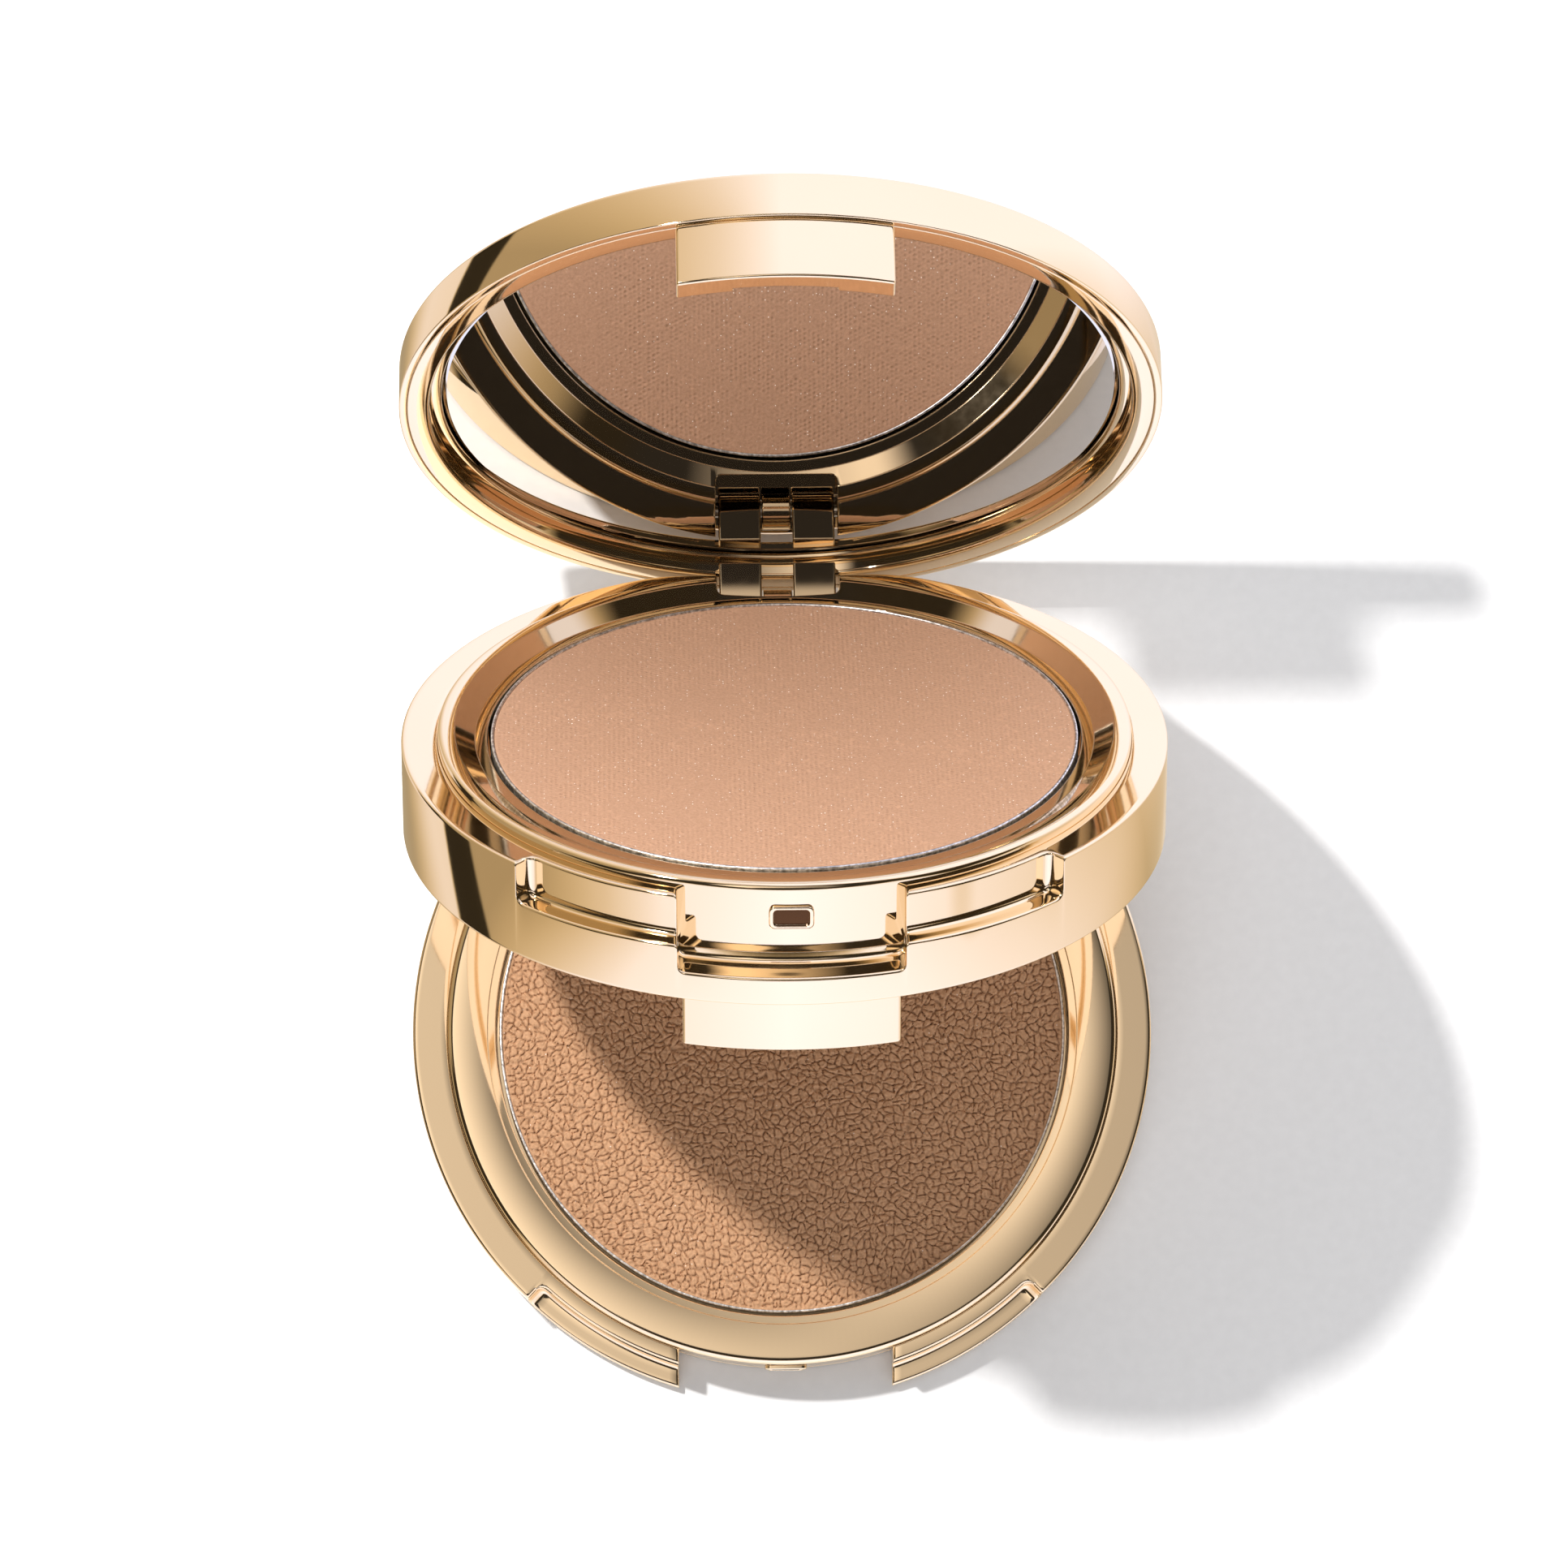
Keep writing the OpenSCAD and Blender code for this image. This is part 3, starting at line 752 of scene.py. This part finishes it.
def value_noise(x, y, cell, seed):
    """Smooth noise between 0 and 1 with features about one cell across."""
    rng = np.random.default_rng(seed)
    table = rng.random((256, 256))
    u, v = x / cell + 100.37, y / cell + 100.71
    i, j = np.floor(u).astype(int), np.floor(v).astype(int)
    fu, fv = u - i, v - j
    fu, fv = fu * fu * (3 - 2 * fu), fv * fv * (3 - 2 * fv)
    c00, c10 = table[i % 256, j % 256], table[(i + 1) % 256, j % 256]
    c01, c11 = table[i % 256, (j + 1) % 256], table[(i + 1) % 256, (j + 1) % 256]
    return (c00 * (1 - fu) + c10 * fu) * (1 - fv) + (c01 * (1 - fu) + c11 * fu) * fv


def cell_walls(x, y, cell, seed):
    """Distance between the nearest and second nearest seed of a jittered grid, in cells."""
    rng = np.random.default_rng(seed)
    jitter = rng.random((256, 256, 2))
    u, v = x / cell + 120, y / cell + 120
    i0, j0 = np.floor(u).astype(int), np.floor(v).astype(int)
    first, second = np.full(x.shape, 9.0), np.full(x.shape, 9.0)
    for di in range(-2, 3):
        for dj in range(-2, 3):
            i, j = i0 + di, j0 + dj
            p = jitter[i % 256, j % 256]
            d = np.hypot(i + p[:, 0] - u, j + p[:, 1] - v)
            second = np.minimum(second, np.maximum(first, d))
            first = np.minimum(first, d)
    return second - first


def pebbled(x, y):
    """Relief of the base powder in millimetres: low cushions parted by fine creases."""
    wx = x + 0.5 * (value_noise(x, y, 0.9, 5) - 0.5)
    wy = y + 0.5 * (value_noise(x, y, 0.9, 6) - 0.5)
    large = np.clip(cell_walls(wx, wy, 0.82, 7) / 0.32, 0, 1)
    small = np.clip(cell_walls(wx, wy, 0.46, 8) / 0.3, 0, 1)
    cushion = 1 - (1 - large) ** 2
    return 0.3 * cushion + 0.1 * small + 0.14 * value_noise(x, y, 0.3, 9)


def woven(x, y):
    """Relief of the middle powder: rows of fine pits left by the pressing cloth."""
    pitch = 0.48
    u = x / pitch + 128
    v = y / pitch + 128 + 0.5 * (np.floor(u) % 2)
    column, row = np.floor(u).astype(int), np.floor(v).astype(int)
    du, dv = u - column - 0.5, v - row - 0.5
    pit = np.exp(-(du * du + dv * dv) / 0.07)
    depth = np.random.default_rng(13).random((256, 256))[column % 256, row % 256]
    strength = depth * np.clip(1.6 * value_noise(x, y, 6, 11), 0.3, 1)
    return -0.13 * pit * strength + 0.03 * value_noise(x, y, 0.25, 12)


def powder(name, body, rim, relief, spacing, material, node_name):
    """Pressed powder: relief(x, y) on top, falling away at the edge, over a plain side and foot."""
    pts, tris, last = disc_points(POWDER_R - 0.01, spacing)
    x, y = pts[:, 0], pts[:, 1]
    edge = np.clip((POWDER_R - np.hypot(x, y)) / 0.35, 0, 1)
    bumps = relief(x, y)
    z = rim - 0.02 + (bumps - bumps.max()) * edge - 0.1 * (1 - edge) ** 2
    n = len(pts)
    foot = rim - WELL_DEPTH + 0.5
    verts = np.column_stack([x, y, z])
    skirt = np.column_stack([x[last:], y[last:], np.full(n - last, foot)])
    verts = np.vstack([verts, skirt])
    count = n - last
    faces = list(tris)
    for k in range(count):
        m = (k + 1) % count
        faces.append((last + k, n + k, n + m, last + m))
    faces.append(tuple(reversed(range(n, n + count))))
    piece = make_piece(name, verts, faces, body, material, name.replace("_cake", ""), sharp=60)
    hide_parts(node_name)


fine = 0.11
powder("base_powder_cake", "base", BASE_RIM, pebbled, fine, BASE_POWDER, "base_powder")
powder("middle_powder_cake", "middle", MIDDLE_RIM, woven, fine, MIDDLE_POWDER, "middle_powder")

# ---- Camera, light and floor ----
# A long lens, about 0.82 m above the table, looking almost straight down
cam_data = bpy.data.cameras.new("camera")
cam = bpy.data.objects.new("camera", cam_data)
bpy.context.scene.collection.objects.link(cam)
bpy.context.scene.camera = cam
cam_data.sensor_width = 36.0
cam_data.lens = 180.1
yaw, pitch, roll = (math.radians(a) for a in (7.348, 82.211, 6.738))
forward = Vector((math.sin(yaw) * math.cos(pitch), math.cos(yaw) * math.cos(pitch), -math.sin(pitch)))
level = Vector((math.cos(yaw), -math.sin(yaw), 0))
rise = level.cross(forward)
right = level * math.cos(roll) + rise * math.sin(roll)
up = rise * math.cos(roll) - level * math.sin(roll)
eye = Vector((-13.754, -84.529, 819.611)) * MM
cam.matrix_world = Matrix((
    (right.x, up.x, -forward.x, eye.x),
    (right.y, up.y, -forward.y, eye.y),
    (right.z, up.z, -forward.z, eye.z),
    (0, 0, 0, 1),
))

# Pale table in two parts at one height: polished surfaces reflect only the middle strip.
def table_part(name, corners, quads):
    mesh = bpy.data.meshes.new(name)
    mesh.from_pydata([(x, y, -0.0002) for x, y in corners], [], quads)
    mesh.materials.append(TABLE)
    part = bpy.data.objects.new(name, mesh)
    bpy.context.scene.collection.objects.link(part)
    return part


TABLE = plain("table_white", (0.84, 0.84, 0.85), 0.9)
FAR = 2.0
STRIP_HALF, STRIP_FRONT, STRIP_BACK = 0.0384, -0.07, 0.045
strip = [(-STRIP_HALF, STRIP_FRONT), (STRIP_HALF, STRIP_FRONT), (STRIP_HALF, STRIP_BACK),
         (-STRIP_HALF, STRIP_BACK)]
far_corners = [(-FAR, -FAR), (FAR, -FAR), (FAR, FAR), (-FAR, FAR)]
table = table_part("table", far_corners + strip,
                   [(0, 1, 5, 4), (1, 2, 6, 5), (2, 3, 7, 6), (3, 0, 4, 7)])
table.visible_glossy = False
table_part("table_strip", strip, [(0, 1, 2, 3)])

KEY_DISTANCE = 0.55
key_data = bpy.data.lights.new("key", "AREA")
key_data.shape = "DISK"
key_data.size = 0.031
key_data.energy = 3.2
key_data.color = (1.0, 0.985, 0.96)
key = bpy.data.objects.new("key", key_data)


def heading(azimuth, elevation):
    """Unit vector, azimuth in degrees from the back of the table round to the right."""
    a, e = math.radians(azimuth), math.radians(elevation)
    return Vector((math.cos(e) * math.sin(a), math.cos(e) * math.cos(a), math.sin(e)))


to_light = heading(-50, 54)
key.location = to_light * KEY_DISTANCE
key.rotation_euler = (-to_light).to_track_quat("-Z", "Y").to_euler()
bpy.context.scene.collection.objects.link(key)

# Studio round the table. Brightness of its walls by azimuth, in degrees from the back:
# white to the rear right and the front, dim on the left and a little on the right.
WALLS = [
    (-180, 1.3), (-140, 1.1), (-110, 0.4), (-60, 0.4), (-20, 0.9), (0, 1.2),
    (60, 1.2), (90, 0.7), (120, 1.0), (150, 1.2), (180, 1.3),
]
WALL_PEAK = 1.4      # brightness at the top of the ramp
WALL_TOP = 46        # elevations in degrees: where the walls end, and how much more at the rear
REAR_RISE = 10
SIDE_TOP = 14        # the side walls are lower
LOW_SHARE = 0.6      # brightness left straight below
GAP_SLOPE = 0.3      # dark gap on the left, in degrees of elevation per degree of azimuth
GAP_TOP = 4          # its upper and lower elevation, carried on to azimuth 0
GAP_LOW = -10
DARK = 0.03          # the least that any direction sends
FILL = 0.62          # extra light on matt surfaces

world = bpy.data.worlds.new("studio")
bpy.context.scene.world = world
world.use_nodes = True
sky = world.node_tree
backdrop = sky.nodes["Background"]


def math_node(operation, *inputs):
    n = sky.nodes.new("ShaderNodeMath")
    n.operation = operation
    for i, value in enumerate(inputs):
        if isinstance(value, (int, float)):
            n.inputs[i].default_value = value
        else:
            sky.links.new(value, n.inputs[i])
    return n.outputs[0]


def fade(value, start, end):
    """0 before start and 1 past end, whichever way round they are."""
    n = sky.nodes.new("ShaderNodeMapRange")
    n.interpolation_type = "SMOOTHSTEP"
    n.inputs["From Min"].default_value = min(start, end)
    n.inputs["From Max"].default_value = max(start, end)
    n.inputs["To Min"].default_value = 0 if start < end else 1
    n.inputs["To Max"].default_value = 1 if start < end else 0
    sky.links.new(value, n.inputs["Value"])
    return n.outputs["Result"]


def toward(direction):
    """Component of the view direction along a unit vector."""
    n = sky.nodes.new("ShaderNodeVectorMath")
    n.operation = "DOT_PRODUCT"
    sky.links.new(aim.outputs["Generated"], n.inputs[0])
    n.inputs[1].default_value = direction
    return n.outputs["Value"]


def product(*factors):
    out = factors[0]
    for factor in factors[1:]:
        out = math_node("MULTIPLY", out, factor)
    return out


aim = sky.nodes.new("ShaderNodeTexCoord")
axes = sky.nodes.new("ShaderNodeSeparateXYZ")
sky.links.new(aim.outputs["Generated"], axes.inputs[0])
elevation = math_node("DEGREES", math_node("ARCSINE", axes.outputs["Z"]))
azimuth = math_node("DEGREES", math_node("ARCTAN2", axes.outputs["X"], axes.outputs["Y"]))
share = math_node("DIVIDE", math_node("ADD", azimuth, 180), 360)
walls = sky.nodes.new("ShaderNodeValToRGB")
sky.links.new(share, walls.inputs["Fac"])
stops = walls.color_ramp.elements
while len(stops) < len(WALLS):
    stops.new(0.5)
for stop, (angle, level) in zip(stops, WALLS):
    stop.position = (angle + 180) / 360
    stop.color = (level / WALL_PEAK,) * 3 + (1,)
side = math_node("MAXIMUM",
                 product(fade(azimuth, -128, -118), fade(azimuth, -84, -92)),
                 product(fade(azimuth, 66, 78), fade(azimuth, 132, 122)))
open_side = math_node("SUBTRACT", 1, product(side, fade(elevation, SIDE_TOP - 4, SIDE_TOP + 6)))
top = math_node("ADD", WALL_TOP, math_node("MULTIPLY", fade(azimuth, -60, -25), REAR_RISE))
top = math_node("SUBTRACT", top, math_node("MULTIPLY", fade(azimuth, 60, 95), REAR_RISE))
wall_light = product(walls.outputs["Color"], WALL_PEAK, open_side,
                     fade(math_node("SUBTRACT", elevation, top), 5, -5),
                     math_node("ADD", LOW_SHARE,
                               math_node("MULTIPLY", 1 - LOW_SHARE, fade(elevation, -80, -30))))
# On the left a dark gap parts the walls from the table's glow
gap = math_node("SUBTRACT", elevation, math_node("MULTIPLY", azimuth, GAP_SLOPE))
on_left = product(fade(azimuth, -128, -116), fade(azimuth, -42, -54))
below_wall = product(on_left, fade(gap, GAP_TOP + 1, GAP_TOP - 1))
below_gap = product(on_left, fade(gap, GAP_LOW + 1, GAP_LOW - 1))
glow = math_node("ADD", 0.4, math_node("MULTIPLY", 0.5, fade(elevation, -70, -44)))
wall_light = math_node("ADD", product(wall_light, math_node("SUBTRACT", 1, below_wall)),
                       product(below_gap, glow))
# Panel overhead, brighter to the left, with the camera's dark patch in front of it
slope = math_node("ADD", math_node("MULTIPLY", toward(heading(-100, 0)), 2.4), 0.70)
camera_patch = fade(toward(heading(180, 74)),
                    math.cos(math.radians(9.5)), math.cos(math.radians(11.5)))
panel = product(math_node("MINIMUM", math_node("MAXIMUM", slope, DARK), 1.2),
                fade(elevation, 66, 74), camera_patch)
light = math_node("MAXIMUM", wall_light, math_node("MAXIMUM", panel, DARK))
# Matt surfaces get extra light that polished ones don't show, which lifts the shadows.
# The camera sees plain white past the table.
path = sky.nodes.new("ShaderNodeLightPath")
fill = math_node("ADD", 1, math_node("MULTIPLY", path.outputs["Is Diffuse Ray"], FILL))
light = math_node("MULTIPLY", light, fill)
sky.links.new(math_node("MAXIMUM", light, path.outputs["Is Camera Ray"]), backdrop.inputs["Strength"])
# Reflections are tinted: warm where the studio is dim, cool where it is bright, and faintly warm
# overhead. The camera and matt surfaces get it neutral.
tint = sky.nodes.new("ShaderNodeMix")
tint.data_type = "RGBA"
warmth = sky.nodes.new("ShaderNodeMix")
warmth.data_type = "RGBA"
warmth.inputs["A"].default_value = (1.14, 0.9, 0.56, 1)
warmth.inputs["B"].default_value = (1.0, 1.05, 1.33, 1)
sky.links.new(fade(light, 0.45, 1.35), warmth.inputs["Factor"])
sky.links.new(warmth.outputs["Result"], tint.inputs["A"])
tint.inputs["B"].default_value = (1.1, 0.99, 0.88, 1)
sky.links.new(product(fade(elevation, 60, 68),
                      math_node("SUBTRACT", 1, path.outputs["Is Diffuse Ray"])), tint.inputs["Factor"])
neutral = sky.nodes.new("ShaderNodeMix")
neutral.data_type = "RGBA"
neutral.inputs["B"].default_value = (1, 1, 1, 1)
sky.links.new(tint.outputs["Result"], neutral.inputs["A"])
sky.links.new(math_node("MAXIMUM", path.outputs["Is Camera Ray"], path.outputs["Is Diffuse Ray"]),
              neutral.inputs["Factor"])
sky.links.new(neutral.outputs["Result"], backdrop.inputs["Color"])
bpy.context.scene.view_settings.view_transform = "Standard"

# The design's own pieces take the material of their slot
LOOKS = {
    "gold_case": GOLD, "pan": PAN, "base_powder": BASE_POWDER, "middle_powder": MIDDLE_POWDER,
    "mirror": MIRROR, "adhesive": ADHESIVE, "label": LABEL, "pin": STEEL,
}
for subpart in frame["record"]["subparts"]:
    materials = frame["nodes"][subpart["node"]].data.materials
    materials.clear()
    materials.append(LOOKS[subpart["material_slot"]])
